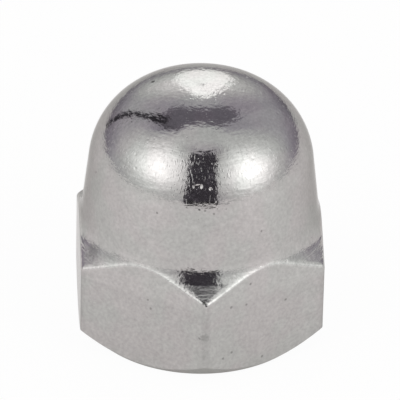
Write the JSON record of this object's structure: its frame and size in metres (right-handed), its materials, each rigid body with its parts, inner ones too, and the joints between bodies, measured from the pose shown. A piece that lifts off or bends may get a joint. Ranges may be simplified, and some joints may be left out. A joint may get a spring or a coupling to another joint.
{
  "type": "cap nut",
  "caption": "Hexagon cap nut with a closed high dome over a blind threaded hole, in polished steel.",
  "frame": {"origin": "centre of the round bearing face, on the thread's axis", "axes": "+Z along the thread's axis from the bearing face to the top of the dome; one upright corner of the hexagon lies on -Y and two of its flats face +X and -X"},
  "size_m": [0.016, 0.0184, 0.0176],
  "materials": {
    "polished_steel": "polished"
  },
  "bodies": {
    "root": {"cap_nut": "polished_steel"}
  },
  "joints": []
}
